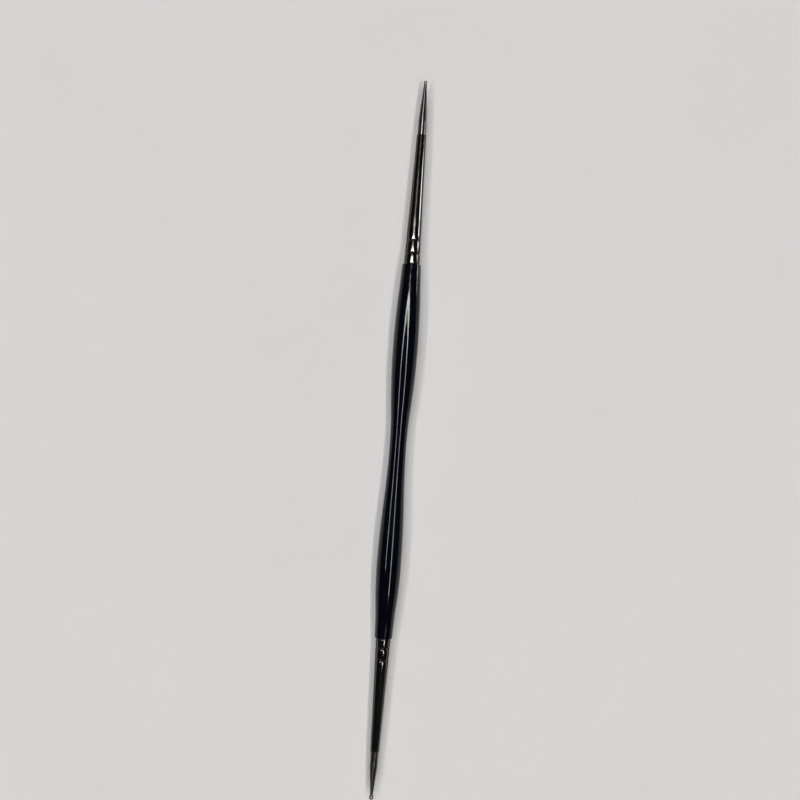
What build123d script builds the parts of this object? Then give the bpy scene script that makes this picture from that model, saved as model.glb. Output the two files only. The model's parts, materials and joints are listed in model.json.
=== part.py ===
from build123d import *
import math
import os

# Double-ended embossing stylus, in millimetres.
# The tool's axis runs level along X, the fine ball points to +X, and the larger swell
# touches the surface at Z 0. The origin is on that surface, under the middle of the length.
#
# Each end is worked out by itself, on an axis that starts at the handle's shoulder
# and runs outwards through the ferrule to the ball, and is then put on the handle.

# Handle: the turned grip, from the fine shoulder over its two swells to the broad shoulder
fine_shoulder_diameter = 5.35
fine_swell_diameter = 6.95
waist_diameter = 4.65
broad_swell_diameter = 6.8
broad_shoulder_diameter = 5.0
fine_head_length = 23.3
fine_flank_length = 26.7
broad_flank_length = 33.8
broad_head_length = 19.8
shoulder_chamfer = 0.2

# Each stretch of the grip's outline is two arcs that run smoothly into each other.
# The share says how much of the stretch's length its first arc takes.
fine_head_turn_share = 0.28
fine_flank_turn_share = 0.64
broad_flank_turn_share = 0.45
broad_head_turn_share = 0.58

# Tenons: the reduced ends of the handle that the ferrules are pushed on to
tenon_length = 10.0
tenon_clearance = 0.03
tenon_chamfer = 0.3

# Blind holes in the tenons, which hold the rods
rod_grip_length = 14.0
hole_clearance = 0.02
hole_relief = 0.5
drill_point_angle = 118.0

# Ferrules: drawn tubes that taper from the shoulder to the rod
ferrule_wall = 0.15
fine_ferrule_length = 36.0
fine_ferrule_butt_diameter = 4.35
broad_ferrule_length = 31.6
broad_ferrule_butt_diameter = 4.15
taper_hollow = 0.045
mouth_clearance = 0.02
mouth_chamfer = 0.05

# Two rolled crimps in each ferrule, at these distances from the handle's shoulder
crimp_depth = 0.18
crimp_run = 0.35
fine_first_crimp = 3.25
fine_second_crimp = 6.9
broad_first_crimp = 2.75
broad_second_crimp = 5.95

# Tips: steel rods that taper to a neck and carry a ball
fine_rod_diameter = 2.2
fine_rod_showing = 4.1
fine_taper_length = 10.0
fine_ball_diameter = 1.0
fine_ball_overhang = 0.075
broad_rod_diameter = 2.1
broad_rod_showing = 4.4
broad_taper_length = 7.5
broad_ball_diameter = 1.37
broad_ball_overhang = 0.28
neck_length = 0.25
neck_fillet = 0.15
shank_chamfer = 0.2

# Cement inside each ferrule, a plug round the rod in front of the tenon's end
cement_gap = 0.01
cement_length = 4.0


def turned(outline):
    """One solid turned about the X axis from a closed outline of edges in the XY plane."""
    return revolve(make_face(outline), axis=Axis.X)


def double_bend(start, end, turn_share):
    """Two arcs, level at both ends, that meet at a share of the way along and across."""
    turn = (
        start[0] + (end[0] - start[0]) * turn_share,
        start[1] + (end[1] - start[1]) * turn_share,
    )
    along = (end[0] - start[0], 0.0)
    back = (start[0] - end[0], 0.0)
    return [TangentArc(start, turn, tangent=along), TangentArc(end, turn, tangent=back)]


def hollow_taper(start, end):
    """A ferrule's long taper, very slightly hollow, from start to end."""
    middle = ((start[0] + end[0]) / 2, (start[1] + end[1]) / 2 - taper_hollow)
    return ThreePointArc(start, middle, end)


class TubeLine:
    """The ferrule's outer line: a long taper with two crimps near the shoulder."""

    def __init__(self, length, butt_radius, mouth_radius, crimps):
        self.length = length
        self.slope = (mouth_radius - butt_radius) / length
        self.butt_radius = butt_radius
        self.crimps = crimps

    def point(self, distance, inset=0.0):
        """The point of the plain taper at a distance from the shoulder, set inwards."""
        return (distance, self.butt_radius + self.slope * distance - inset)

    def crimped(self, inset):
        """The line set inwards, from the shoulder over both crimps, as corner points."""
        points = [self.point(0.0, inset)]
        for bottom in self.crimps:
            points.append(self.point(bottom - crimp_run, inset))
            points.append(self.point(bottom, inset + crimp_depth))
            points.append(self.point(bottom + crimp_run, inset))
        return points


def ferrule(tube):
    """A drawn tube with its crimps pressed through its wall, and a chamfered mouth."""
    outside = tube.crimped(0.0)
    bore = tube.crimped(ferrule_wall)
    outer_mouth = tube.point(tube.length - mouth_chamfer)
    inner_mouth = tube.point(tube.length, ferrule_wall)
    outline = [
        Polyline(*outside),
        hollow_taper(outside[-1], outer_mouth),
        Polyline(outer_mouth, tube.point(tube.length, mouth_chamfer), inner_mouth),
        hollow_taper(inner_mouth, bore[-1]),
        Polyline(*reversed(bore), outside[0]),
    ]
    return turned(outline)


def tenon(tube):
    """The handle's end inside the ferrule, with a groove under each crimp and a chamfered end."""
    inset = ferrule_wall + tenon_clearance
    end_radius = tube.point(tenon_length, inset)[1]
    end_corners = [
        (tube.crimps[-1] + crimp_run, end_radius),
        (tenon_length - tenon_chamfer, end_radius),
        (tenon_length, end_radius - tenon_chamfer),
        (tenon_length, 0.0),
    ]
    outline = Polyline((0.0, 0.0), *tube.crimped(inset)[:-1], *end_corners, close=True)
    return turned([outline])


def rod_hole(rod_radius):
    """The drilled hole for the rod, with its pointed bottom."""
    radius = rod_radius + hole_clearance
    bottom = tenon_length - rod_grip_length - hole_relief
    point = bottom - radius / math.tan(math.radians(drill_point_angle / 2))
    corners = [(tenon_length, 0.0), (tenon_length, radius), (bottom, radius), (point, 0.0)]
    return turned([Polyline(*corners, close=True)])


class Ball:
    """The ball, its neck and the small fillet between them, for a given ball and overhang."""

    def __init__(self, diameter, overhang):
        self.radius = diameter / 2
        self.neck_radius = self.radius - overhang
        self.fillet_height = self.neck_radius + neck_fillet
        self.neck_to_centre = math.sqrt((self.radius + neck_fillet) ** 2 - self.fillet_height ** 2)
        self.reach = neck_length + self.neck_to_centre + self.radius

    def edges(self, start):
        """The neck from its start, the fillet, and the ball round to its pole on the axis."""
        fillet_start = start + neck_length
        centre = fillet_start + self.neck_to_centre
        lean = math.asin(self.fillet_height / (self.radius + neck_fillet))
        touch = (centre - self.radius * math.cos(lean), self.radius * math.sin(lean))
        half_lean = (math.pi / 2 - lean) / 2
        sag = (
            fillet_start + neck_fillet * math.sin(half_lean),
            self.fillet_height - neck_fillet * math.cos(half_lean),
        )
        return [
            Line((start, self.neck_radius), (fillet_start, self.neck_radius)),
            ThreePointArc((fillet_start, self.neck_radius), sag, touch),
            ThreePointArc(touch, (centre, self.radius), (centre + self.radius, 0.0)),
        ]


def tip(mouth, rod_radius, rod_showing, taper_length, ball):
    """The whole rod: shank in the handle, stretch that shows, taper, neck and ball."""
    shank_start = tenon_length - rod_grip_length
    taper_start = mouth + rod_showing
    neck_start = taper_start + taper_length
    shank = Polyline(
        (shank_start, 0.0),
        (shank_start, rod_radius - shank_chamfer),
        (shank_start + shank_chamfer, rod_radius),
        (taper_start, rod_radius),
    )
    taper = Line((taper_start, rod_radius), (neck_start, ball.neck_radius))
    end = ball.edges(neck_start)
    return turned([shank, taper] + end + [Line(end[-1] @ 1, (shank_start, 0.0))])


def cement(tube, rod_radius):
    """The plug of cement round the rod, in front of the tenon's end."""
    start = tenon_length + cement_gap
    end = start + cement_length
    inset = ferrule_wall + taper_hollow + cement_gap
    bore = rod_radius + cement_gap
    corners = [(start, bore), tube.point(start, inset), tube.point(end, inset), (end, bore)]
    return turned([Polyline(*corners, close=True)])


def grip(fine_shoulder, broad_shoulder):
    """The handle between its shoulders: two swells, a waist and two eased shoulder edges."""
    fine_swell = (fine_shoulder - fine_head_length, fine_swell_diameter / 2)
    waist = (fine_swell[0] - fine_flank_length, waist_diameter / 2)
    broad_swell = (waist[0] - broad_flank_length, broad_swell_diameter / 2)
    fine_edge = (fine_shoulder - shoulder_chamfer, fine_shoulder_diameter / 2)
    broad_edge = (broad_shoulder + shoulder_chamfer, broad_shoulder_diameter / 2)
    fine_face = (fine_shoulder, fine_edge[1] - shoulder_chamfer)
    broad_face = (broad_shoulder, broad_edge[1] - shoulder_chamfer)
    outline = [
        Line(fine_face, fine_edge),
        *double_bend(fine_edge, fine_swell, fine_head_turn_share),
        *double_bend(fine_swell, waist, fine_flank_turn_share),
        *double_bend(waist, broad_swell, broad_flank_turn_share),
        *double_bend(broad_swell, broad_edge, broad_head_turn_share),
        Polyline(broad_edge, broad_face, (broad_shoulder, 0.0), (fine_shoulder, 0.0), fine_face),
    ]
    return turned(outline)


# Sizes of the two ends, from the shoulder outwards
fine_rod_radius = fine_rod_diameter / 2
broad_rod_radius = broad_rod_diameter / 2
fine_tube = TubeLine(
    fine_ferrule_length,
    fine_ferrule_butt_diameter / 2,
    fine_rod_radius + mouth_clearance + ferrule_wall,
    (fine_first_crimp, fine_second_crimp),
)
broad_tube = TubeLine(
    broad_ferrule_length,
    broad_ferrule_butt_diameter / 2,
    broad_rod_radius + mouth_clearance + ferrule_wall,
    (broad_first_crimp, broad_second_crimp),
)
fine_ball = Ball(fine_ball_diameter, fine_ball_overhang)
broad_ball = Ball(broad_ball_diameter, broad_ball_overhang)
fine_end_length = fine_ferrule_length + fine_rod_showing + fine_taper_length + fine_ball.reach
broad_end_length = broad_ferrule_length + broad_rod_showing + broad_taper_length + broad_ball.reach

# Places along the tool, from the middle of its overall length
handle_length = fine_head_length + fine_flank_length + broad_flank_length + broad_head_length
overall_length = fine_end_length + handle_length + broad_end_length
fine_shoulder_x = overall_length / 2 - fine_end_length
broad_shoulder_x = fine_shoulder_x - handle_length
axis_height = max(fine_swell_diameter, broad_swell_diameter) / 2

to_fine_end = Pos(fine_shoulder_x, 0.0, 0.0)
to_broad_end = Pos(broad_shoulder_x, 0.0, 0.0) * Rot(0, 0, 180)

handle = grip(fine_shoulder_x, broad_shoulder_x)
handle += to_fine_end * tenon(fine_tube)
handle += to_broad_end * tenon(broad_tube)
handle -= to_fine_end * rod_hole(fine_rod_radius)
handle -= to_broad_end * rod_hole(broad_rod_radius)

pieces = {
    "handle": handle,
    "ferrule_fine": to_fine_end * ferrule(fine_tube),
    "ferrule_broad": to_broad_end * ferrule(broad_tube),
    "tip_fine": to_fine_end * tip(
        fine_ferrule_length, fine_rod_radius, fine_rod_showing, fine_taper_length, fine_ball
    ),
    "tip_broad": to_broad_end * tip(
        broad_ferrule_length, broad_rod_radius, broad_rod_showing, broad_taper_length, broad_ball
    ),
    "adhesive_fine": to_fine_end * cement(fine_tube, fine_rod_radius),
    "adhesive_broad": to_broad_end * cement(broad_tube, broad_rod_radius),
}

os.makedirs("parts", exist_ok=True)
for name, piece in pieces.items():
    export_step(Pos(0.0, 0.0, axis_height) * piece, f"parts/{name}.step")

print(f"overall length {overall_length:.2f}, handle {handle_length:.2f}")
print(f"fine shoulder at x {fine_shoulder_x:.3f}, broad shoulder at x {broad_shoulder_x:.3f}")
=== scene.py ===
import json
import math

import bpy
import numpy as np
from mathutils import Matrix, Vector
from bpy.props import FloatProperty, FloatVectorProperty, IntProperty, PointerProperty


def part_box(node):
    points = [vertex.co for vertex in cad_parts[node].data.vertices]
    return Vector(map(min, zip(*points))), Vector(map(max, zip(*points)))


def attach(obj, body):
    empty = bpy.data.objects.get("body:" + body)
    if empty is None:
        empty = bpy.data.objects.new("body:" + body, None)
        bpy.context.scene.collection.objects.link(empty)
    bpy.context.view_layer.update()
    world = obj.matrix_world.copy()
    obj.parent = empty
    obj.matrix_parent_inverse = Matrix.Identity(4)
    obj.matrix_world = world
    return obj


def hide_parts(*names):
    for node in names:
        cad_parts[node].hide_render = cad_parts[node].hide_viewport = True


bl_info = {
    "name": "Embossing Stylus",
    "version": (1, 0, 0),
    "blender": (4, 5, 0),
    "location": "View3D > Sidebar > Stylus",
    "description": "A double-ended embossing stylus with its finishes, light and camera",
    "category": "Add Mesh",
}

# The packed part is the fixed frame: its axis runs along X, and it rests on Z 0.
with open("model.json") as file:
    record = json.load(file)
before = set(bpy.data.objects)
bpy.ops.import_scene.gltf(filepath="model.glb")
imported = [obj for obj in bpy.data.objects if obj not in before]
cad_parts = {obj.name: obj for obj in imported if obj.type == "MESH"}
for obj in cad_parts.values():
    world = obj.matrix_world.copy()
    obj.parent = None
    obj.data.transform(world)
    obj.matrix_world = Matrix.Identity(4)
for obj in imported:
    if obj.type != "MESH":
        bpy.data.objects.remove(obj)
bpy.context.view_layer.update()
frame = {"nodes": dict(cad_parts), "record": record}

MM = 0.001
MICRON = 0.001 * MM
AXIS_HEIGHT = (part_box("handle")[0].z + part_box("handle")[1].z) / 2
RECORD_COLOURS = {
    material["slot"]: tuple(material["base_color"]) for material in frame["record"]["materials"]
}


# Settings

def length(name, description, millimetres):
    """A length property that is given in millimetres and kept in Blender's metres."""
    return FloatProperty(
        name=name,
        description=description,
        default=millimetres * MM,
        min=0.0,
        precision=5,
        subtype="DISTANCE",
        unit="LENGTH",
    )


def share(name, description, default):
    """A property from 0 to 1."""
    return FloatProperty(
        name=name, description=description, default=default, min=0.0, max=1.0, subtype="FACTOR"
    )


def colour(name, description, default):
    """A linear colour property."""
    return FloatVectorProperty(
        name=name,
        description=description,
        default=default,
        size=3,
        min=0.0,
        max=1.0,
        subtype="COLOR",
    )


class StylusGrip(bpy.types.PropertyGroup):
    """Sizes of the turned handle between its shoulders."""

    fine_shoulder_diameter: length("Fine shoulder", "Diameter at the fine ferrule", 5.5)
    fine_swell_diameter: length("Fine swell", "Largest diameter near the fine end", 6.95)
    waist_diameter: length("Waist", "Smallest diameter between the swells", 4.65)
    broad_swell_diameter: length("Broad swell", "Largest diameter near the broad end", 6.8)
    broad_shoulder_diameter: length("Broad shoulder", "Diameter at the broad ferrule", 5.04)
    fine_head_length: length("Fine head", "From the fine shoulder to its swell", 23.3)
    fine_flank_length: length("Fine flank", "From the fine swell to the waist", 26.7)
    broad_flank_length: length("Broad flank", "From the waist to the broad swell", 33.8)
    fine_head_turn: share("Fine head turn", "Share of the stretch in its first arc", 0.28)
    fine_flank_turn: share("Fine flank turn", "Share of the stretch in its first arc", 0.64)
    broad_flank_turn: share("Broad flank turn", "Share of the stretch in its first arc", 0.45)
    broad_head_turn: share("Broad head turn", "Share of the stretch in its first arc", 0.58)
    shoulder_round: length("Shoulder round", "Radius of the lacquered shoulder edges", 0.22)
    fine_droop: length("Fine droop", "How far the lacquer falls away at the fine shoulder", 0.16)
    fine_droop_reach: length("Fine droop reach", "Length over which it falls away there", 6.5)
    broad_droop: length("Broad droop", "How far the lacquer falls away at the broad shoulder", 0.09)
    broad_droop_reach: length("Broad droop reach", "Length over which it falls away there", 4.5)


class StylusFittings(bpy.types.PropertyGroup):
    """Sizes that both ends share: tenon, crimps, tube wall and neck."""

    tenon_length: length("Tenon", "Length of the handle inside the ferrule", 10.0)
    tenon_clearance: length("Tenon clearance", "Gap between tenon and tube", 0.03)
    tenon_chamfer: length("Tenon chamfer", "Chamfer on the tenon's end", 0.3)
    rod_grip_length: length("Rod grip", "Length of rod inside the handle", 14.0)
    hole_clearance: length("Hole clearance", "Gap between rod and hole", 0.02)
    hole_relief: length("Hole relief", "Depth of the hole behind the rod", 0.5)
    ferrule_wall: length("Tube wall", "Wall thickness of the drawn tube", 0.15)
    taper_hollow: length("Taper hollow", "How far a ferrule's long taper is hollow", 0.045)
    mouth_round: length("Mouth round", "Reach of the round on the tube's mouth", 0.05)
    crimp_depth: length("Crimp depth", "Depth of a rolled crimp", 0.18)
    crimp_run: length("Crimp run", "Length of one side of a crimp", 0.35)
    crimp_dip: length("Crimp dip", "How far the tube falls away round a crimp", 0.05)
    dip_to_tip: length("Dip to the tip", "Reach of that fall on the tip's side", 1.5)
    dip_to_handle: length("Dip to the handle", "Reach of that fall on the handle's side", 3.6)
    butt_dip: length("Butt dip", "How far the tube falls away at the shoulder", 0.045)
    butt_reach: length("Butt reach", "Reach of that fall", 2.4)
    neck_length: length("Neck", "Straight neck behind the ball", 0.25)
    neck_fillet: length("Neck fillet", "Radius between neck and ball", 0.15)
    shank_chamfer: length("Shank chamfer", "Chamfer on the rod's hidden end", 0.2)


class StylusFineEnd(bpy.types.PropertyGroup):
    """Sizes of the fine end."""

    butt_diameter: length("Ferrule butt", "Diameter of the ferrule's taper at the shoulder", 4.35)
    mouth_diameter: length("Ferrule mouth", "Outer diameter of the ferrule's mouth", 2.54)
    first_crimp: length("First crimp", "From the shoulder to the first crimp", 2.95)
    second_crimp: length("Second crimp", "From the shoulder to the second crimp", 6.5)
    rod_diameter: length("Rod", "Diameter of the rod", 2.2)
    rod_showing: length("Bare rod", "Straight rod that shows before the taper", 4.1)
    taper_length: length("Taper", "Length of the tapered stretch", 10.0)
    ball_diameter: length("Ball", "Diameter of the ball", 1.0)
    ball_overhang: length("Ball overhang", "How far the ball stands past its neck", 0.075)


class StylusBroadEnd(bpy.types.PropertyGroup):
    """Sizes of the broad end."""

    butt_diameter: length("Ferrule butt", "Diameter of the ferrule's taper at the shoulder", 4.15)
    mouth_diameter: length("Ferrule mouth", "Outer diameter of the ferrule's mouth", 2.44)
    first_crimp: length("First crimp", "From the shoulder to the first crimp", 2.75)
    second_crimp: length("Second crimp", "From the shoulder to the second crimp", 5.95)
    rod_diameter: length("Rod", "Diameter of the rod", 2.1)
    rod_showing: length("Bare rod", "Straight rod that shows before the taper", 4.4)
    taper_length: length("Taper", "Length of the tapered stretch", 7.5)
    ball_diameter: length("Ball", "Diameter of the ball", 1.37)
    ball_overhang: length("Ball overhang", "How far the ball stands past its neck", 0.28)


class StylusFinish(bpy.types.PropertyGroup):
    """Colours of the finishes, and how finely the pieces are turned."""

    lacquer: colour("Lacquer", "Gloss lacquer on the handle", RECORD_COLOURS["handle_lacquer"])
    primer: colour("Primer", "What shows where the lacquer is chipped", (0.09, 0.05, 0.025))
    plate: colour("Nickel plate", "Plated ferrules", (0.125, 0.121, 0.118))
    # Dark plate colour for real tarnish stains and pits, and for the painted shade in the crimps
    # and at the butt
    tarnish_and_shade: colour("Tarnish", "Dulled plate in the crimps", (0.046, 0.041, 0.036))
    steel: colour("Steel", "Ground rods and balls", RECORD_COLOURS["tip_steel"])
    cement: colour("Cement", "Cement inside the ferrules", RECORD_COLOURS["cement"])
    facets: IntProperty(
        name="Facets", description="Faces round a turned piece", default=128, min=16, max=256
    )


class StylusStudio(bpy.types.PropertyGroup):
    """The floor, the lamps over it and the camera."""

    paper: colour("Paper", "Pale floor", (0.597, 0.585, 0.583))
    background: colour("Background", "What shows past the floor", (0.607, 0.595, 0.593))
    lamp_height: FloatProperty(
        name="Lamp height",
        description="Height of the lamps over the floor",
        default=2.0,
        unit="LENGTH",
    )
    lamp_radiance: FloatProperty(
        name="Lamp radiance",
        description="Brightness of the horseshoe lamp, white being 1",
        default=14.5,
    )
    dim_level: FloatProperty(
        name="Dim level",
        description="Brightness of the room above the horizon",
        default=0.02,
    )
    lens: FloatProperty(name="Lens", description="Focal length in millimetres", default=35.0)


SETTINGS = {
    "stylus_grip": StylusGrip,
    "stylus_fittings": StylusFittings,
    "stylus_fine_end": StylusFineEnd,
    "stylus_broad_end": StylusBroadEnd,
    "stylus_finish": StylusFinish,
    "stylus_studio": StylusStudio,
}


# Shapes: every piece is a profile of points (place along the axis, radius) turned about the axis

# How many points each line of a profile has
STRETCH_POINTS = 80
LONG_STRETCH_POINTS = 90
TUBE_POINTS = 110
TIP_TAPER_POINTS = 60
FILLET_POINTS = 10
BALL_POINTS = 48
EDGE_POINTS = 9


def level_arc(leaving, passing, x):
    """Radius at x of the circular arc that leaves one point level and passes another.

    The circle's radius is (run squared + rise squared) / (2 rise), and the profile's radius
    changes by that less the square root of its square less the squared distance gone.
    """
    run = passing[0] - leaving[0]
    rise = passing[1] - leaving[1]
    bend = (run**2 + rise**2) / (2 * rise)
    gone = x - leaving[0]
    return leaving[1] + bend - np.sign(bend) * np.sqrt(bend**2 - gone**2)


def double_bend(start, end, turn_share, count):
    """Two level arcs from start to end that meet at a share of the way along and across."""
    x = np.linspace(start[0], end[0], count)
    turn = tuple(a + (b - a) * turn_share for a, b in zip(start, end))
    before_turn = np.abs(x - start[0]) < abs(turn[0] - start[0])
    radius = np.where(before_turn, level_arc(start, turn, x), level_arc(end, turn, x))
    return np.column_stack([x, radius])


LONGEST_CUT = 0.45


def softened(corners, reach, steps=4):
    """The open polyline with each inner corner P eased by the parabola
    (1-t)^2 A + 2t(1-t) P + t^2 B. A and B lie reach away from P on its two sides, or at
    the share LONGEST_CUT of a side that is too short for that."""
    corners = np.asarray(corners, float)
    sides = np.diff(corners, axis=0)
    lengths = np.linalg.norm(sides, axis=1)[:, None]
    cut = np.minimum(reach / lengths, LONGEST_CUT)
    before = corners[1:-1] - sides[:-1] * cut[:-1]
    after = corners[1:-1] + sides[1:] * cut[1:]
    t = np.linspace(0.0, 1.0, steps + 1)[None, :, None]
    eased = (
        (1 - t) ** 2 * before[:, None]
        + 2 * t * (1 - t) * corners[1:-1][:, None]
        + t**2 * after[:, None]
    )
    return np.vstack([corners[:1], eased.reshape(-1, 2), corners[-1:]])


def circle_arc(centre, radius, start_angle, end_angle, count):
    """Points of a circle about a centre in the profile's plane, from one angle to another."""
    angle = np.linspace(start_angle, end_angle, count)
    return np.column_stack([centre[0] + radius * np.cos(angle), centre[1] + radius * np.sin(angle)])


def turned_piece(name, profile, closed):
    """Surface of revolution about the axis: the profile's point (x, r), turned by the angle a,
    goes to (x, r cos a, axis height + r sin a). A closed profile is a loop clear of the axis;
    an open one starts and ends on the axis, where its end points become single poles."""
    facets = bpy.context.scene.stylus_finish.facets
    profile = np.asarray(profile, float)
    ahead = np.roll(profile, -1, axis=0)
    if np.sum(profile[:, 0] * ahead[:, 1] - ahead[:, 0] * profile[:, 1]) < 0:
        profile = profile[::-1]
    rings = profile if closed else profile[1:-1]
    angle = np.arange(facets) * 2 * math.pi / facets
    points = np.empty((len(rings), facets, 3))
    points[:, :, 0] = rings[:, :1]
    points[:, :, 1] = rings[:, 1:] * np.cos(angle)
    points[:, :, 2] = rings[:, 1:] * np.sin(angle) + AXIS_HEIGHT
    index = np.arange(len(rings) * facets).reshape(len(rings), facets)
    if closed:
        index = np.vstack([index, index[:1]])
    around = np.roll(index, -1, axis=1)
    quads = np.stack([index[:-1], index[1:], around[1:], around[:-1]], axis=-1).reshape(-1, 4)
    vertices = points.reshape(-1, 3)
    faces = quads.tolist()
    if not closed:
        poles = np.array([[x, 0.0, AXIS_HEIGHT] for x in (profile[0, 0], profile[-1, 0])])
        first, last = len(vertices), len(vertices) + 1
        vertices = np.vstack([vertices, poles])
        faces += [[first, a, b] for a, b in zip(index[0].tolist(), around[0].tolist())]
        faces += [[last, b, a] for a, b in zip(index[-1].tolist(), around[-1].tolist())]
    mesh = bpy.data.meshes.new(name)
    mesh.from_pydata(vertices.tolist(), [], faces)
    mesh.polygons.foreach_set("use_smooth", np.ones(len(mesh.polygons), bool))
    mesh.validate()
    mesh.update()
    piece = bpy.data.objects.new(name, mesh)
    bpy.context.scene.collection.objects.link(piece)
    return piece


# How round a crimp's bottom is, and how far past it the line is taken closely, as shares of
# its run, and the step of that line
CRIMP_ROUNDING = 0.15
CRIMP_MARGIN = 1.2
CRIMP_STEP = 0.045 * MM

# How far before its taper a rod's last straight ring stands, how far hidden edges are eased,
# and the angle of the drill's point in degrees
SUPPORT = 0.1 * MM
HIDDEN_EASE = 0.025 * MM
DRILL_POINT_ANGLE = 118.0


class End:
    """One end of the tool, measured from the handle's shoulder outwards."""

    def __init__(self, sizes, ferrule_node, tip_node, direction):
        low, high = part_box(ferrule_node)
        self.sizes = sizes
        self.fittings = bpy.context.scene.stylus_fittings
        self.ferrule_node = ferrule_node
        self.tip_node = tip_node
        self.direction = direction
        self.shoulder_x = low.x if direction > 0 else high.x
        self.length = high.x - low.x
        self.rod_radius = sizes.rod_diameter / 2
        self.crimps = (sizes.first_crimp, sizes.second_crimp)

    def placed(self, profile):
        """The profile moved from this end's own measure to its place along the tool."""
        profile = np.asarray(profile, float)
        return np.column_stack([self.shoulder_x + self.direction * profile[:, 0], profile[:, 1]])

    def taper(self, distance):
        """Outer radius of the plain taper at a distance from the shoulder."""
        butt, mouth = self.sizes.butt_diameter / 2, self.sizes.mouth_diameter / 2
        return butt + (mouth - butt) * distance / self.length

    def crimped(self, distance):
        """Outer radius of the tube: the taper less its hollow, its crimps and the dips round them.

        The hollow is 4 hollow t (1 - t) from the second crimp to the mouth. A crimp is
        depth (1 - v)^2, where v is the distance from its bottom over its run, rounded at the
        bottom. A dip is dip (1 - w)^2, where w is that distance over the dip's reach, and a
        last dip of the same kind stands at the shoulder.
        """
        f = self.fittings
        radius = self.taper(distance)
        for bottom in self.crimps:
            away = distance - bottom
            v = np.hypot(away / f.crimp_run, CRIMP_ROUNDING) - CRIMP_ROUNDING
            w = np.abs(away) / np.where(away < 0, f.dip_to_handle, f.dip_to_tip)
            radius = radius - f.crimp_depth * np.clip(1 - v, 0.0, 1.0) ** 2
            radius = radius - f.crimp_dip * np.clip(1 - w, 0.0, 1.0) ** 2
        radius = radius - f.butt_dip * np.clip(1 - distance / f.butt_reach, 0.0, 1.0) ** 2
        t = np.clip((distance - self.crimps[-1]) / (self.length - self.crimps[-1]), 0.0, 1.0)
        return radius - 4 * f.taper_hollow * t * (1 - t)

    def crimp_stations(self):
        """Distances from the shoulder at which the tube's line is taken, close in the crimps."""
        f = self.fittings
        margin = f.crimp_run * CRIMP_MARGIN
        crimps = [
            np.arange(bottom - margin, bottom + margin, CRIMP_STEP) for bottom in self.crimps
        ]
        plain = np.linspace(0.0, self.length - f.mouth_round * 2, TUBE_POINTS)
        return np.unique(np.round(np.concatenate([plain, *crimps]), 8))

    def ferrule(self):
        """The tube's loop: outside, rounded mouth, bore, and rounded butt."""
        f = self.fittings
        stations = self.crimp_stations()
        outside = np.column_stack([stations, self.crimped(stations)])
        bore = outside[::2][::-1] - (0.0, f.ferrule_wall)
        mouth = self.crimped(np.array([self.length]))[0]
        lip = softened(
            [outside[-1], (self.length, mouth), (self.length, mouth - f.ferrule_wall), bore[0]],
            f.mouth_round,
        )[1:-1]
        return self.placed(np.vstack([outside, lip, bore]))

    def tip(self):
        """The rod: hidden shank, bare stretch, taper, neck, fillet and ball, pole to pole."""
        s, f = self.sizes, self.fittings
        shank = f.tenon_length - f.rod_grip_length
        taper_start = self.length + s.rod_showing
        neck_start = taper_start + s.taper_length
        ball_radius = s.ball_diameter / 2
        neck_radius = ball_radius - s.ball_overhang
        fillet_start = neck_start + f.neck_length
        fillet_height = neck_radius + f.neck_fillet
        joined = ball_radius + f.neck_fillet
        centre = fillet_start + math.sqrt(joined**2 - fillet_height**2)
        lean = math.asin(fillet_height / joined)
        rod = softened(
            [
                (shank, 0.0),
                (shank, self.rod_radius - f.shank_chamfer),
                (shank + f.shank_chamfer, self.rod_radius),
                (taper_start - SUPPORT, self.rod_radius),
            ],
            HIDDEN_EASE,
        )
        taper = np.linspace(
            (taper_start, self.rod_radius), (neck_start, neck_radius), TIP_TAPER_POINTS
        )
        fillet = circle_arc(
            (fillet_start, fillet_height), f.neck_fillet, -math.pi / 2, -lean, FILLET_POINTS
        )
        ball = circle_arc((centre, 0.0), ball_radius, math.pi - lean, 0.0, BALL_POINTS)
        return self.placed(np.vstack([rod, taper, fillet, ball[1:]]))

    def socket(self):
        """The handle inside the ferrule: drilled hole, tenon's end, grooves under the crimps."""
        f = self.fittings
        radius = self.rod_radius + f.hole_clearance
        bottom = f.tenon_length - f.rod_grip_length - f.hole_relief
        drill_point = bottom - radius / math.tan(math.radians(DRILL_POINT_ANGLE / 2))
        inset = f.ferrule_wall + f.tenon_clearance
        tenon_radius = self.taper(f.tenon_length) - inset
        groove_end = self.crimps[-1] + f.crimp_run
        stations = self.crimp_stations()
        grooves = stations[stations < groove_end][::-2]
        side = np.column_stack([grooves, self.crimped(grooves) - inset])
        corners = [
            (drill_point, 0.0),
            (bottom, radius),
            (f.tenon_length, radius),
            (f.tenon_length, tenon_radius - f.tenon_chamfer),
            (f.tenon_length - f.tenon_chamfer, tenon_radius),
            (groove_end, tenon_radius),
        ]
        return self.placed(np.vstack([softened(corners, HIDDEN_EASE), side]))


def both_ends():
    """The fine end, which points along +X, and the broad end, which points along -X."""
    scene = bpy.context.scene
    return (
        End(scene.stylus_fine_end, "ferrule_fine", "tip_fine", 1),
        End(scene.stylus_broad_end, "ferrule_broad", "tip_broad", -1),
    )


def shoulder(end, radius, rounding):
    """The handle's face against the ferrule and its rounded edge, as a quarter circle."""
    face = [(0.0, end.crimped(np.array([0.0]))[0])]
    edge = circle_arc((-rounding, radius - rounding), rounding, 0.0, math.pi / 2, EDGE_POINTS)
    return end.placed(np.vstack([face, edge]))


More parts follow.
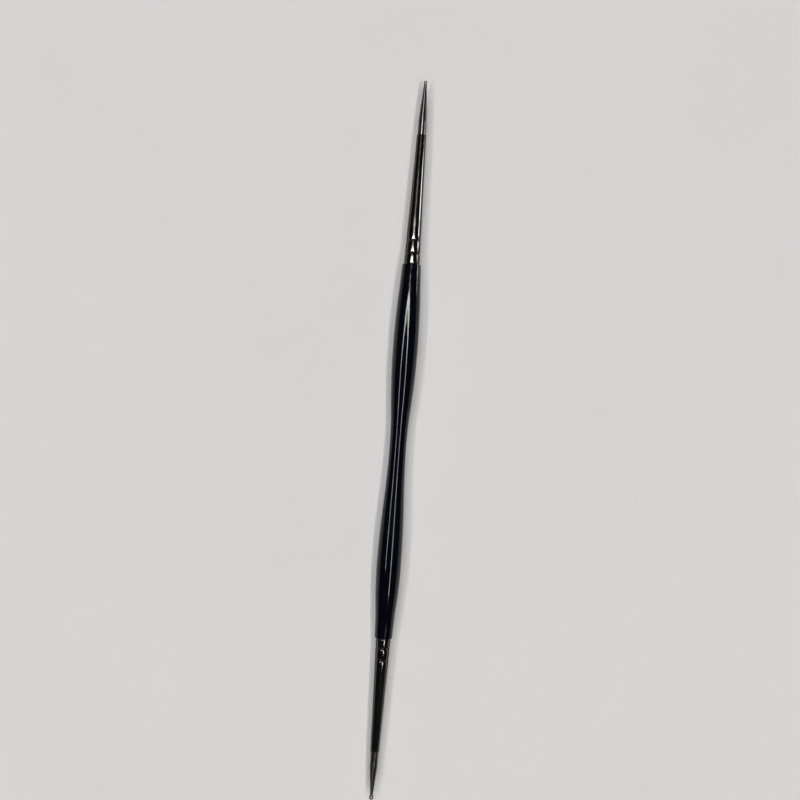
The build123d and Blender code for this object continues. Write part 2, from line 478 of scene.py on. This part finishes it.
def grip_line(fine, broad):
    """The outline of the grip between its shoulder edges: four double bends, less the lacquer's
    droop at both ends, which is droop (1 - s / reach)^2 at the distance s from the shoulder."""
    g = bpy.context.scene.stylus_grip
    fine_edge = (fine.shoulder_x - g.shoulder_round, g.fine_shoulder_diameter / 2)
    broad_edge = (broad.shoulder_x + g.shoulder_round, g.broad_shoulder_diameter / 2)
    fine_swell = (fine.shoulder_x - g.fine_head_length, g.fine_swell_diameter / 2)
    waist = (fine_swell[0] - g.fine_flank_length, g.waist_diameter / 2)
    broad_swell = (waist[0] - g.broad_flank_length, g.broad_swell_diameter / 2)
    stretches = [
        double_bend(fine_edge, fine_swell, g.fine_head_turn, STRETCH_POINTS),
        double_bend(fine_swell, waist, g.fine_flank_turn, STRETCH_POINTS),
        double_bend(waist, broad_swell, g.broad_flank_turn, LONG_STRETCH_POINTS),
        double_bend(broad_swell, broad_edge, g.broad_head_turn, STRETCH_POINTS),
    ]
    line = np.vstack([stretches[0]] + [stretch[1:] for stretch in stretches[1:]])
    droops = (
        (fine, g.fine_droop, g.fine_droop_reach),
        (broad, g.broad_droop, g.broad_droop_reach),
    )
    for end, droop, reach in droops:
        nearness = np.clip(1 - np.abs(line[:, 0] - end.shoulder_x) / reach, 0.0, 1.0)
        line[:, 1] -= droop * nearness**2
    return line


# Materials

class Signal:
    """A shader socket that arithmetic can be done on: each operator adds a Math node."""

    def __init__(self, graph, socket):
        self.graph = graph
        self.socket = socket

    def math(self, operation, other=None, swap=False):
        first, second = (other, self) if swap else (self, other)
        inputs = {0: first} if second is None else {0: first, 1: second}
        return self.graph.add("ShaderNodeMath", {"operation": operation}, inputs)

    def __add__(self, other):
        return self.math("ADD", other)

    def __sub__(self, other):
        return self.math("SUBTRACT", other)

    def __rsub__(self, other):
        return self.math("SUBTRACT", other, swap=True)

    def __mul__(self, other):
        return self.math("MULTIPLY", other)

    __radd__ = __add__
    __rmul__ = __mul__

    def clipped(self):
        """This value held between 0 and 1."""
        return self.graph.add("ShaderNodeClamp", {}, {0: self, 1: 0.0, 2: 1.0})

    def rise(self, low, high):
        """A smooth step: 0 below low, 1 above high. With low over high it falls instead."""
        settings = {"interpolation_type": "SMOOTHSTEP"}
        inputs = {0: self, 1: low, 2: high, 3: 0.0, 4: 1.0}
        return self.graph.add("ShaderNodeMapRange", settings, inputs)


class Graph:
    """The node tree of one material or world, written as expressions on signals."""

    def __init__(self, owner):
        owner.use_nodes = True
        self.tree = owner.node_tree
        self.tree.nodes.clear()

    def add(self, kind, settings, inputs, output=0):
        """A node of this kind: its settings are set first, then its sockets' values or links."""
        node = self.tree.nodes.new(kind)
        for name, value in settings.items():
            setattr(node, name, value)
        for key, value in inputs.items():
            if isinstance(value, Signal):
                self.tree.links.new(value.socket, node.inputs[key])
            else:
                node.inputs[key].default_value = value
        return Signal(self, node.outputs[output])

    def place(self):
        """Object coordinates with the tool's axis as the X axis, in metres."""
        place = self.add("ShaderNodeTexCoord", {}, {}, output="Object")
        return self.vector("SUBTRACT", place, (0.0, 0.0, AXIS_HEIGHT))

    def vector(self, operation, first, second, output=0):
        """A Vector Math node."""
        inputs = {0: first, 1: second}
        return self.add("ShaderNodeVectorMath", {"operation": operation}, inputs, output)

    def parts(self, place):
        """The X, Y and Z of a vector."""
        node = self.add("ShaderNodeSeparateXYZ", {}, {0: place}).socket.node
        return [Signal(self, socket) for socket in node.outputs]

    def noise(self, place, along, across, detail=2.0, shift=0.0):
        """Noise whose grains are so long along the axis and across it, in metres."""
        grains = self.vector("MULTIPLY", place, (1 / along, 1 / across, 1 / across))
        moved = self.vector("ADD", grains, (shift, shift * 1.7, -shift))
        inputs = {"Vector": moved, "Scale": 1.0, "Detail": detail}
        return self.add("ShaderNodeTexNoise", {"noise_dimensions": "3D"}, inputs)

    def specks(self, place, spacing, size, shift=0.0):
        """Round specks: 1 at the middle of a speck and 0 past its size, about spacing apart."""
        moved = self.vector("ADD", place, (shift, shift, shift))
        settings = {"voronoi_dimensions": "3D", "feature": "F1"}
        inputs = {"Vector": moved, "Scale": 1 / spacing, "Randomness": 1.0}
        distance = self.add("ShaderNodeTexVoronoi", settings, inputs, output="Distance")
        return distance.rise(size / spacing, 0.0)

    def mix(self, factor, first, second):
        """A colour mixed from first to second."""
        inputs = {0: factor, 6: rgba(first), 7: rgba(second)}
        return self.add("ShaderNodeMix", {"data_type": "RGBA"}, inputs, output=2)

    def bump(self, height):
        """A normal from a height in metres."""
        return self.add("ShaderNodeBump", {}, {"Strength": 1.0, "Distance": 1.0, "Height": height})

    def surface(self, shader):
        """Links the shader to the material's output."""
        output = self.tree.nodes.new("ShaderNodeOutputMaterial")
        self.tree.links.new(shader.socket, output.inputs["Surface"])


# The lacquer's index of refraction
LACQUER_IOR = 1.38

# Tarnished metal keeps its dark colour at a grazing angle too
EDGE_TINT = (0.17, 0.165, 0.16, 1.0)

# How much brighter the polished balls are than their rods, how much of the turning lines
# stays on them, and how far behind a ball its polish ends, as a share of its diameter
BALL_POLISH = 2.2
BALL_LINES = 0.015
POLISH_FADE = 0.1

# How much of its colour each finish keeps in its darkest places
DEEP_LACQUER = 0.55
STAINED_STEEL = 0.55
OLD_CEMENT = 0.6
SHADED_PAPER = 0.965


def rgba(value):
    """A colour with its alpha, or a signal as it is."""
    return value if isinstance(value, Signal) else (*value, 1.0)


def lacquer_material(finish):
    """Near-black navy gloss on turned wood: slightly wavy, handled, chipped at its shoulders."""
    material = bpy.data.materials.new("handle_lacquer")
    graph = Graph(material)
    place = graph.place()
    x = graph.parts(place)[0]
    grain = graph.noise(place, 14 * MM, 0.55 * MM, detail=4.0)
    cloud = graph.noise(place, 9 * MM, 5 * MM, detail=2.0, shift=3.1)
    wave = graph.noise(place, 4.5 * MM, 3.0 * MM, detail=1.0, shift=7.7)
    peel = graph.noise(place, 0.8 * MM, 0.6 * MM, detail=2.0, shift=1.3)
    nib = graph.specks(place, 4.2 * MM, 0.16 * MM, shift=0.4)
    scratch = graph.noise(place, 6 * MM, 0.05 * MM, detail=1.0, shift=5.2).rise(0.70, 0.76)
    rubbed = graph.noise(place, 12 * MM, 7 * MM, detail=3.0, shift=9.4).rise(0.42, 0.68)

    # Chips on the two shoulder edges, where the lacquer is thin
    from_fine, from_broad = ((x - end.shoulder_x).math("ABSOLUTE") for end in both_ends())
    from_edge = from_fine.math("MINIMUM", from_broad)
    chip_grain = graph.noise(place, 0.25 * MM, 0.35 * MM, detail=3.0, shift=2.2)
    chipped = from_edge.rise(0.2 * MM, 0.02 * MM) * chip_grain.rise(0.56, 0.62)

    deep = tuple(channel * DEEP_LACQUER for channel in finish.lacquer)
    lacquer = graph.mix((grain * 0.6 + cloud * 0.4).clipped(), deep, finish.lacquer)
    base = graph.mix(chipped, lacquer, finish.primer)
    height = (
        wave * (22 * MICRON)
        + grain * (2.2 * MICRON)
        + peel * (1.1 * MICRON)
        + nib * (14 * MICRON)
        - scratch * (1.2 * MICRON)
        - chipped * (25 * MICRON)
    )
    roughness = 0.045 + rubbed * 0.07 + scratch * 0.12 + chipped * 0.4 + peel * 0.02
    shader = graph.add(
        "ShaderNodeBsdfPrincipled",
        {},
        {
            "Base Color": base,
            "Roughness": roughness,
            "IOR": LACQUER_IOR,
            "Normal": graph.bump(height),
        },
    )
    graph.surface(shader)
    return material


def plate_material(finish):
    """Polished nickel plate on drawn tube: lathe lines, soft dents, tarnish stains and pits, and
    painted shade in the crimps and at the butt.
    """
    material = bpy.data.materials.new("ferrule_plate")
    graph = Graph(material)
    place = graph.place()
    x = graph.parts(place)[0]
    lines = graph.noise(place, 0.07 * MM, 6 * MM, detail=3.0)
    draw_lines = graph.noise(place, 20 * MM, 0.09 * MM, detail=2.0, shift=4.4)
    dents = graph.noise(place, 2.6 * MM, 1.8 * MM, detail=1.0, shift=8.3)
    stain = graph.noise(place, 3.5 * MM, 2.2 * MM, detail=4.0, shift=6.1)
    pits = graph.specks(place, 1.3 * MM, 0.06 * MM, shift=0.7)

    # Painted shade: the plate is darkened in the crimp bottoms and at the butt by the handle, where
    # shade falls, and real tarnish stains and pits are added to it
    painted_crimp_and_butt_shade = None
    for end in both_ends():
        for bottom in (0.0, *end.crimps):
            away = (x - (end.shoulder_x + end.direction * bottom)).math("ABSOLUTE")
            spot = away.rise(0.16 * MM, 0.03 * MM)
            painted_crimp_and_butt_shade = spot if painted_crimp_and_butt_shade is None else painted_crimp_and_butt_shade.math("MAXIMUM", spot)
    # The dark colour goes on the painted crimp and butt shade, the stains and the pits
    tarnish_and_shade = (painted_crimp_and_butt_shade * 0.8 + stain.rise(0.55, 0.75) * 0.35 + pits * 0.5).clipped()
    base = graph.mix(tarnish_and_shade, finish.plate, finish.tarnish_and_shade)
    height = (
        dents * (3 * MICRON)
        + lines * (0.35 * MICRON)
        + draw_lines * (0.25 * MICRON)
        - pits * (6 * MICRON)
    )
    roughness = 0.10 + stain.rise(0.4, 0.7) * 0.05 + lines.rise(0.5, 0.8) * 0.04 + tarnish_and_shade * 0.12
    shader = graph.add(
        "ShaderNodeBsdfPrincipled",
        {},
        {
            "Base Color": base,
            "Metallic": 1.0,
            "Roughness": roughness,
            "Specular Tint": EDGE_TINT,
            "Normal": graph.bump(height),
        },
    )
    graph.surface(shader)
    return material


def steel_material(finish):
    """Ground steel rod with turning lines round it, polished bright at the balls."""
    material = bpy.data.materials.new("tip_steel")
    graph = Graph(material)
    place = graph.place()
    x = graph.parts(place)[0]
    lines = graph.noise(place, 0.06 * MM, 3 * MM, detail=2.0)
    bands = graph.noise(place, 1.1 * MM, 5 * MM, detail=2.0, shift=3.9)
    stain = graph.noise(place, 2.0 * MM, 0.9 * MM, detail=4.0, shift=5.5)
    pits = graph.specks(place, 0.8 * MM, 0.05 * MM, shift=0.2)
    fine, broad = both_ends()
    fine_ball, broad_ball = fine.sizes.ball_diameter, broad.sizes.ball_diameter
    fine_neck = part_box("tip_fine")[1].x - fine_ball
    broad_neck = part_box("tip_broad")[0].x + broad_ball
    on_fine_ball = x.rise(fine_neck - fine_ball * POLISH_FADE, fine_neck)
    on_broad_ball = x.rise(broad_neck + broad_ball * POLISH_FADE, broad_neck)
    ball = (on_fine_ball + on_broad_ball).clipped()
    dull = (stain.rise(0.48, 0.72) * 0.45 + pits * 0.6).clipped()
    dark = tuple(channel * STAINED_STEEL for channel in finish.steel)
    bright = tuple(channel * BALL_POLISH for channel in finish.steel)
    base = graph.mix(dull, graph.mix(ball, finish.steel, bright), dark)
    rod = 1 - ball
    turned = lines * (13 * MICRON) + bands * (2.0 * MICRON)
    height = turned * (rod * (1 - BALL_LINES) + BALL_LINES) - pits * (5 * MICRON)
    roughness = 0.07 + rod * 0.05 + bands * 0.04 + dull * 0.10
    shader = graph.add(
        "ShaderNodeBsdfPrincipled",
        {},
        {
            "Base Color": base,
            "Metallic": 1.0,
            "Roughness": roughness,
            "Specular Tint": EDGE_TINT,
            "Normal": graph.bump(height),
        },
    )
    graph.surface(shader)
    return material


def cement_material(finish):
    """Dull amber cement with bubbles and a mottled skin."""
    material = bpy.data.materials.new("cement")
    graph = Graph(material)
    place = graph.place()
    mottle = graph.noise(place, 0.9 * MM, 0.9 * MM, detail=4.0)
    bubbles = graph.specks(place, 0.5 * MM, 0.12 * MM)
    dark = tuple(channel * OLD_CEMENT for channel in finish.cement)
    base = graph.mix((mottle.rise(0.35, 0.7) + bubbles * 0.3).clipped(), finish.cement, dark)
    height = mottle * (20 * MICRON) - bubbles * (30 * MICRON)
    shader = graph.add(
        "ShaderNodeBsdfPrincipled",
        {},
        {"Base Color": base, "Roughness": 0.62 + mottle * 0.2, "Normal": graph.bump(height)},
    )
    graph.surface(shader)
    return material


def paper_material(studio):
    """Pale paper near the tool that passes into an evenly lit background further off."""
    material = bpy.data.materials.new("floor_paper")
    graph = Graph(material)
    place = graph.add("ShaderNodeTexCoord", {}, {}, output="Object")
    fibre = graph.noise(place, 0.5 * MM, 0.5 * MM, detail=4.0)
    cloud = graph.noise(place, 60 * MM, 60 * MM, detail=2.0, shift=2.0)
    shade = tuple(channel * SHADED_PAPER for channel in studio.paper)
    base = graph.mix((cloud * 0.7 + fibre * 0.3).clipped(), shade, studio.paper)
    paper = graph.add(
        "ShaderNodeBsdfPrincipled",
        {},
        {
            "Base Color": base,
            "Roughness": 0.9,
            "Specular IOR Level": 0.1,
            "Normal": graph.bump(fibre * (12 * MICRON)),
        },
    )
    glow = graph.add("ShaderNodeEmission", {}, {"Color": rgba(studio.background), "Strength": 1.0})
    away = graph.vector("LENGTH", place, (0, 0, 0), "Value").rise(*PAPER_END)
    graph.surface(graph.add("ShaderNodeMixShader", {}, {0: away, 1: paper, 2: glow}))
    return material


# Operators

def finished(piece, material, slot, *nodes):
    """Gives a new piece its material, puts it on the root body and hides the CAD nodes that it
    replaces.
    """
    piece.data.materials.append(material)
    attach(piece, "root")
    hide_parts(*nodes)


class STYLUS_OT_handle(bpy.types.Operator):
    """Add the turned and lacquered handle with its tenons and drilled holes"""

    bl_idname = "stylus.add_handle"
    bl_label = "Add Handle"

    def execute(self, context):
        grip = context.scene.stylus_grip
        fine, broad = both_ends()
        line = grip_line(fine, broad)
        profile = np.vstack([
            fine.socket(),
            shoulder(fine, line[0, 1], grip.shoulder_round),
            line[1:-1],
            shoulder(broad, line[-1, 1], grip.shoulder_round)[::-1],
            broad.socket()[::-1],
        ])
        piece = turned_piece("lacquered_handle", profile, closed=False)
        finished(piece, lacquer_material(context.scene.stylus_finish), "handle_lacquer", "handle")
        return {"FINISHED"}


class STYLUS_OT_ferrules(bpy.types.Operator):
    """Add the two crimped and tapered ferrules"""

    bl_idname = "stylus.add_ferrules"
    bl_label = "Add Ferrules"

    def execute(self, context):
        material = plate_material(context.scene.stylus_finish)
        for end in both_ends():
            piece = turned_piece("crimped_" + end.ferrule_node, end.ferrule(), closed=True)
            finished(piece, material, "ferrule_plate", end.ferrule_node)
        return {"FINISHED"}


class STYLUS_OT_tips(bpy.types.Operator):
    """Add the two ball-ended rods"""

    bl_idname = "stylus.add_tips"
    bl_label = "Add Tips"

    def execute(self, context):
        material = steel_material(context.scene.stylus_finish)
        for end in both_ends():
            piece = turned_piece("ball_" + end.tip_node, end.tip(), closed=False)
            finished(piece, material, "tip_steel", end.tip_node)
        return {"FINISHED"}


class STYLUS_OT_cement(bpy.types.Operator):
    """Finish the plugs of cement inside the ferrules"""

    bl_idname = "stylus.finish_cement"
    bl_label = "Finish Cement"

    def execute(self, context):
        material = cement_material(context.scene.stylus_finish)
        for node in ("adhesive_fine", "adhesive_broad"):
            plug = frame["nodes"][node]
            plug.data.materials.clear()
            plug.data.materials.append(material)
        return {"FINISHED"}


class STYLUS_OT_studio(bpy.types.Operator):
    """Add the pale floor, the strip lamps, the background and the camera"""

    bl_idname = "stylus.add_studio"
    bl_label = "Add Studio"

    def execute(self, context):
        studio = context.scene.stylus_studio
        add_floor(studio)
        add_lamps(studio)
        set_background(studio)
        add_camera(studio)
        context.scene.view_settings.view_transform = "Standard"
        return {"FINISHED"}


# Studio

FLOOR_RADIUS = 6.0
FLOOR_SIDES = 96
FLOOR_DROP = 0.02 * MM

# How far off the paper starts to pass into the background, and where it has done so
PAPER_END = (0.45, 1.3)

# The angle over the horizon up to which metal and gloss see the pale background
HORIZON_GLOW = math.radians(7.0)

# The lamps over the tool are placed by slopes: how far along the tool (towards +X) and how far
# across it (towards +Y) for each metre of their height. The horseshoe is one bent strip: two
# straight arms, which end at RIGHT_ARM and LEFT_ARM, joined at the fine end by half an
# ellipse from BEND_START to BEND_TOP.
STRIP_WIDTH = 0.085
BEND_START = -0.12
BEND_TOP = 0.245
BEND_POINTS = 61
RIGHT_ARM = (-0.425, -0.385)
LEFT_ARM = (-0.264, 0.554)

# The strip glows more by this share along its bend, and again at the end of its right arm,
# from the first of these slopes to the second
BEND_GAIN = 0.6
BRIGHT_END = (-0.34, -0.41)

# Fill lamps, which light the paper and don't show in the gloss: from and to along the tool,
# from and to across it, and their brightness
FILL_LAMPS = {
    "fill_right": ((-0.65, 0.00), (-0.42, -0.34), 65.0),
    "fill_left": ((-0.60, 0.00), (0.52, 0.60), 30.0),
}

# Two faint lamps that show as a thin line on the tips' tapers, placed in the same way
TAPER_LAMPS = {
    "fine_taper_lamp": ((0.47, 0.72), (0.05, 0.28), 9.0),
    "broad_taper_lamp": ((-0.88, -0.66), (0.05, 0.28), 3.5),
}

# A standing panel low on the tool's -Y side
SIDE_DISTANCE = 2.0
SIDE_AZIMUTH = math.radians(18.3)
SIDE_SIZE = (0.22, 0.46)
SIDE_RADIANCE = 12.0


def add_floor(studio):
    """A level disc a little under the tool."""
    angle = np.arange(FLOOR_SIDES) * 2 * math.pi / FLOOR_SIDES
    level = np.full(FLOOR_SIDES, -FLOOR_DROP)
    ring = np.column_stack([FLOOR_RADIUS * np.cos(angle), FLOOR_RADIUS * np.sin(angle), level])
    mesh = bpy.data.meshes.new("floor")
    mesh.from_pydata(ring.tolist(), [], [list(range(FLOOR_SIDES))])
    mesh.materials.append(paper_material(studio))
    floor = bpy.data.objects.new("floor", mesh)
    bpy.context.scene.collection.objects.link(floor)


def add_lamps(studio):
    """The horseshoe and the fill lamps, which are level, and the standing panel."""
    height = studio.lamp_height
    add_horseshoe(height, studio.lamp_radiance)
    for name, (along, across, brightness) in {**FILL_LAMPS, **TAPER_LAMPS}.items():
        place = (sum(along) / 2 * height, sum(across) / 2 * height, height)
        size = ((along[1] - along[0]) * height, (across[1] - across[0]) * height)
        lamp = add_panel(name, place, (0.0, 0.0, -1.0), size, brightness)
        lamp.visible_glossy = name in TAPER_LAMPS
    outwards = Vector((math.sin(SIDE_AZIMUTH), -math.cos(SIDE_AZIMUTH), 0.0))
    place = outwards * SIDE_DISTANCE + Vector((0.0, 0.0, SIDE_SIZE[1] / 2))
    add_panel("side_panel", place, -outwards, SIDE_SIZE, SIDE_RADIANCE)


def add_horseshoe(height, radiance):
    """A glowing ribbon: the path of the arms and the half ellipse, moved half the strip's width
    to both sides along the path's own level normal."""
    angle = np.linspace(-math.pi / 2, math.pi / 2, BEND_POINTS)
    middle = (LEFT_ARM[1] + RIGHT_ARM[1]) / 2
    spread = (LEFT_ARM[1] - RIGHT_ARM[1]) / 2
    bend = np.column_stack([
        BEND_START + (BEND_TOP - BEND_START) * np.cos(angle), middle + spread * np.sin(angle)
    ])
    path = np.vstack([RIGHT_ARM, bend, LEFT_ARM]) * height
    ahead = np.gradient(path, axis=0)
    side = np.column_stack([-ahead[:, 1], ahead[:, 0]]) / np.linalg.norm(ahead, axis=1)[:, None]
    half = side * STRIP_WIDTH * height / 2
    level = np.full(len(path), height)
    edges = [np.column_stack([path + half, level]), np.column_stack([path - half, level])]
    first = np.arange(len(path) - 1)
    faces = np.column_stack([first, first + 1, first + 1 + len(path), first + len(path)])
    mesh = bpy.data.meshes.new("horseshoe_lamp")
    mesh.from_pydata(np.vstack(edges).tolist(), [], faces.tolist())
    glow = bpy.data.materials.new("lamp_glow")
    graph = Graph(glow)
    x = graph.parts(graph.add("ShaderNodeTexCoord", {}, {}, output="Object"))[0]
    arm_tone = (1 / (1 + BEND_GAIN),) * 3
    at_bend = x.rise(0.0, BEND_TOP * height)
    at_end = x.rise(BRIGHT_END[0] * height, BRIGHT_END[1] * height)
    tone = graph.mix((at_bend + at_end).clipped(), arm_tone, (1.0, 1.0, 1.0))
    strength = radiance * (1 + BEND_GAIN)
    graph.surface(graph.add("ShaderNodeEmission", {}, {"Color": tone, "Strength": strength}))
    mesh.materials.append(glow)
    lamp = bpy.data.objects.new("horseshoe_lamp", mesh)
    lamp.visible_camera = False
    bpy.context.scene.collection.objects.link(lamp)


def add_panel(name, place, facing, size, radiance):
    """A rectangular lamp that faces this way and shows this brightness, white being 1."""
    lamp = bpy.data.lights.new(name, "AREA")
    lamp.shape = "RECTANGLE"
    lamp.size, lamp.size_y = size
    lamp.energy = radiance * math.pi * size[0] * size[1]
    holder = bpy.data.objects.new(name, lamp)
    holder.location = place
    holder.rotation_euler = Vector(facing).to_track_quat("-Z", "Y").to_euler()
    holder.visible_camera = False
    bpy.context.scene.collection.objects.link(holder)
    return holder


def set_background(studio):
    """The pale background: the camera sees it everywhere past the floor, metal and gloss see it
    low over the horizon, and the room above is dim, so that polished metal keeps its darks."""
    world = bpy.data.worlds.new("studio")
    bpy.context.scene.world = world
    graph = Graph(world)
    up = graph.parts(graph.add("ShaderNodeTexCoord", {}, {}, output="Generated"))[2]
    low = up.rise(math.sin(HORIZON_GLOW), 0.0)
    ray = graph.tree.nodes.new("ShaderNodeLightPath")
    camera, glossy, through = (
        Signal(graph, ray.outputs[name])
        for name in ("Is Camera Ray", "Is Glossy Ray", "Is Transmission Ray")
    )
    shown = (camera + (glossy + through) * low).clipped()
    dim = (studio.dim_level,) * 3
    tone = graph.mix(shown, dim, studio.background)
    background = graph.add("ShaderNodeBackground", {}, {"Color": tone, "Strength": 1.0})
    output = graph.tree.nodes.new("ShaderNodeOutputWorld")
    graph.tree.links.new(background.socket, output.inputs["Surface"])


# The photograph's view: straight down, the fine end up and leaning to the right.
# The picture's side and the place of the tool's middle in it are in pixels.
PICTURE_SIDE = 800.0
SENSOR_WIDTH = 36.0
PIXELS_PER_MM = 3.6075
LEAN = math.radians(4.35)
MIDDLE_RIGHT = -1.65
MIDDLE_UP = -40.2


def add_camera(studio):
    """The camera, which looks straight down and puts the tool's middle at its place."""
    data = bpy.data.cameras.new("camera")
    data.lens = studio.lens
    data.sensor_width = SENSOR_WIDTH
    distance = data.lens / SENSOR_WIDTH * PICTURE_SIDE / PIXELS_PER_MM * MM
    right = np.array([math.sin(LEAN), -math.cos(LEAN)])
    up = np.array([math.cos(LEAN), math.sin(LEAN)])
    middle = (MIDDLE_RIGHT * right + MIDDLE_UP * up) / PIXELS_PER_MM * MM
    camera = bpy.data.objects.new("camera", data)
    camera.location = (-middle[0], -middle[1], AXIS_HEIGHT + distance)
    camera.rotation_euler = (0.0, 0.0, LEAN - math.pi / 2)
    bpy.context.scene.collection.objects.link(camera)
    bpy.context.scene.camera = camera


class STYLUS_PT_sidebar(bpy.types.Panel):
    """The stylus's operators and settings, in the order in which they are used"""

    bl_idname = "STYLUS_PT_sidebar"
    bl_label = "Embossing Stylus"
    bl_space_type = "VIEW_3D"
    bl_region_type = "UI"
    bl_category = "Stylus"

    def draw(self, context):
        for operator in OPERATORS:
            self.layout.operator(operator.bl_idname)
        for name, group in SETTINGS.items():
            box = self.layout.box()
            box.label(text=group.__doc__)
            for prop in group.__annotations__:
                box.prop(getattr(context.scene, name), prop)


OPERATORS = (
    STYLUS_OT_handle,
    STYLUS_OT_ferrules,
    STYLUS_OT_tips,
    STYLUS_OT_cement,
    STYLUS_OT_studio,
)


def register():
    """Registers the settings, the operators and the sidebar panel."""
    for group in SETTINGS.values():
        bpy.utils.register_class(group)
    for name, group in SETTINGS.items():
        setattr(bpy.types.Scene, name, PointerProperty(type=group))
    for operator in (*OPERATORS, STYLUS_PT_sidebar):
        bpy.utils.register_class(operator)


def unregister():
    """Takes the panel, the operators and the settings away again."""
    for operator in (STYLUS_PT_sidebar, *reversed(OPERATORS)):
        bpy.utils.unregister_class(operator)
    for name, group in SETTINGS.items():
        delattr(bpy.types.Scene, name)
        bpy.utils.unregister_class(group)


def main():
    """Builds the stylus and its studio."""
    register()
    bpy.ops.stylus.add_handle()
    bpy.ops.stylus.add_ferrules()
    bpy.ops.stylus.add_tips()
    bpy.ops.stylus.finish_cement()
    bpy.ops.stylus.add_studio()


if __name__ == "__main__":
    main()
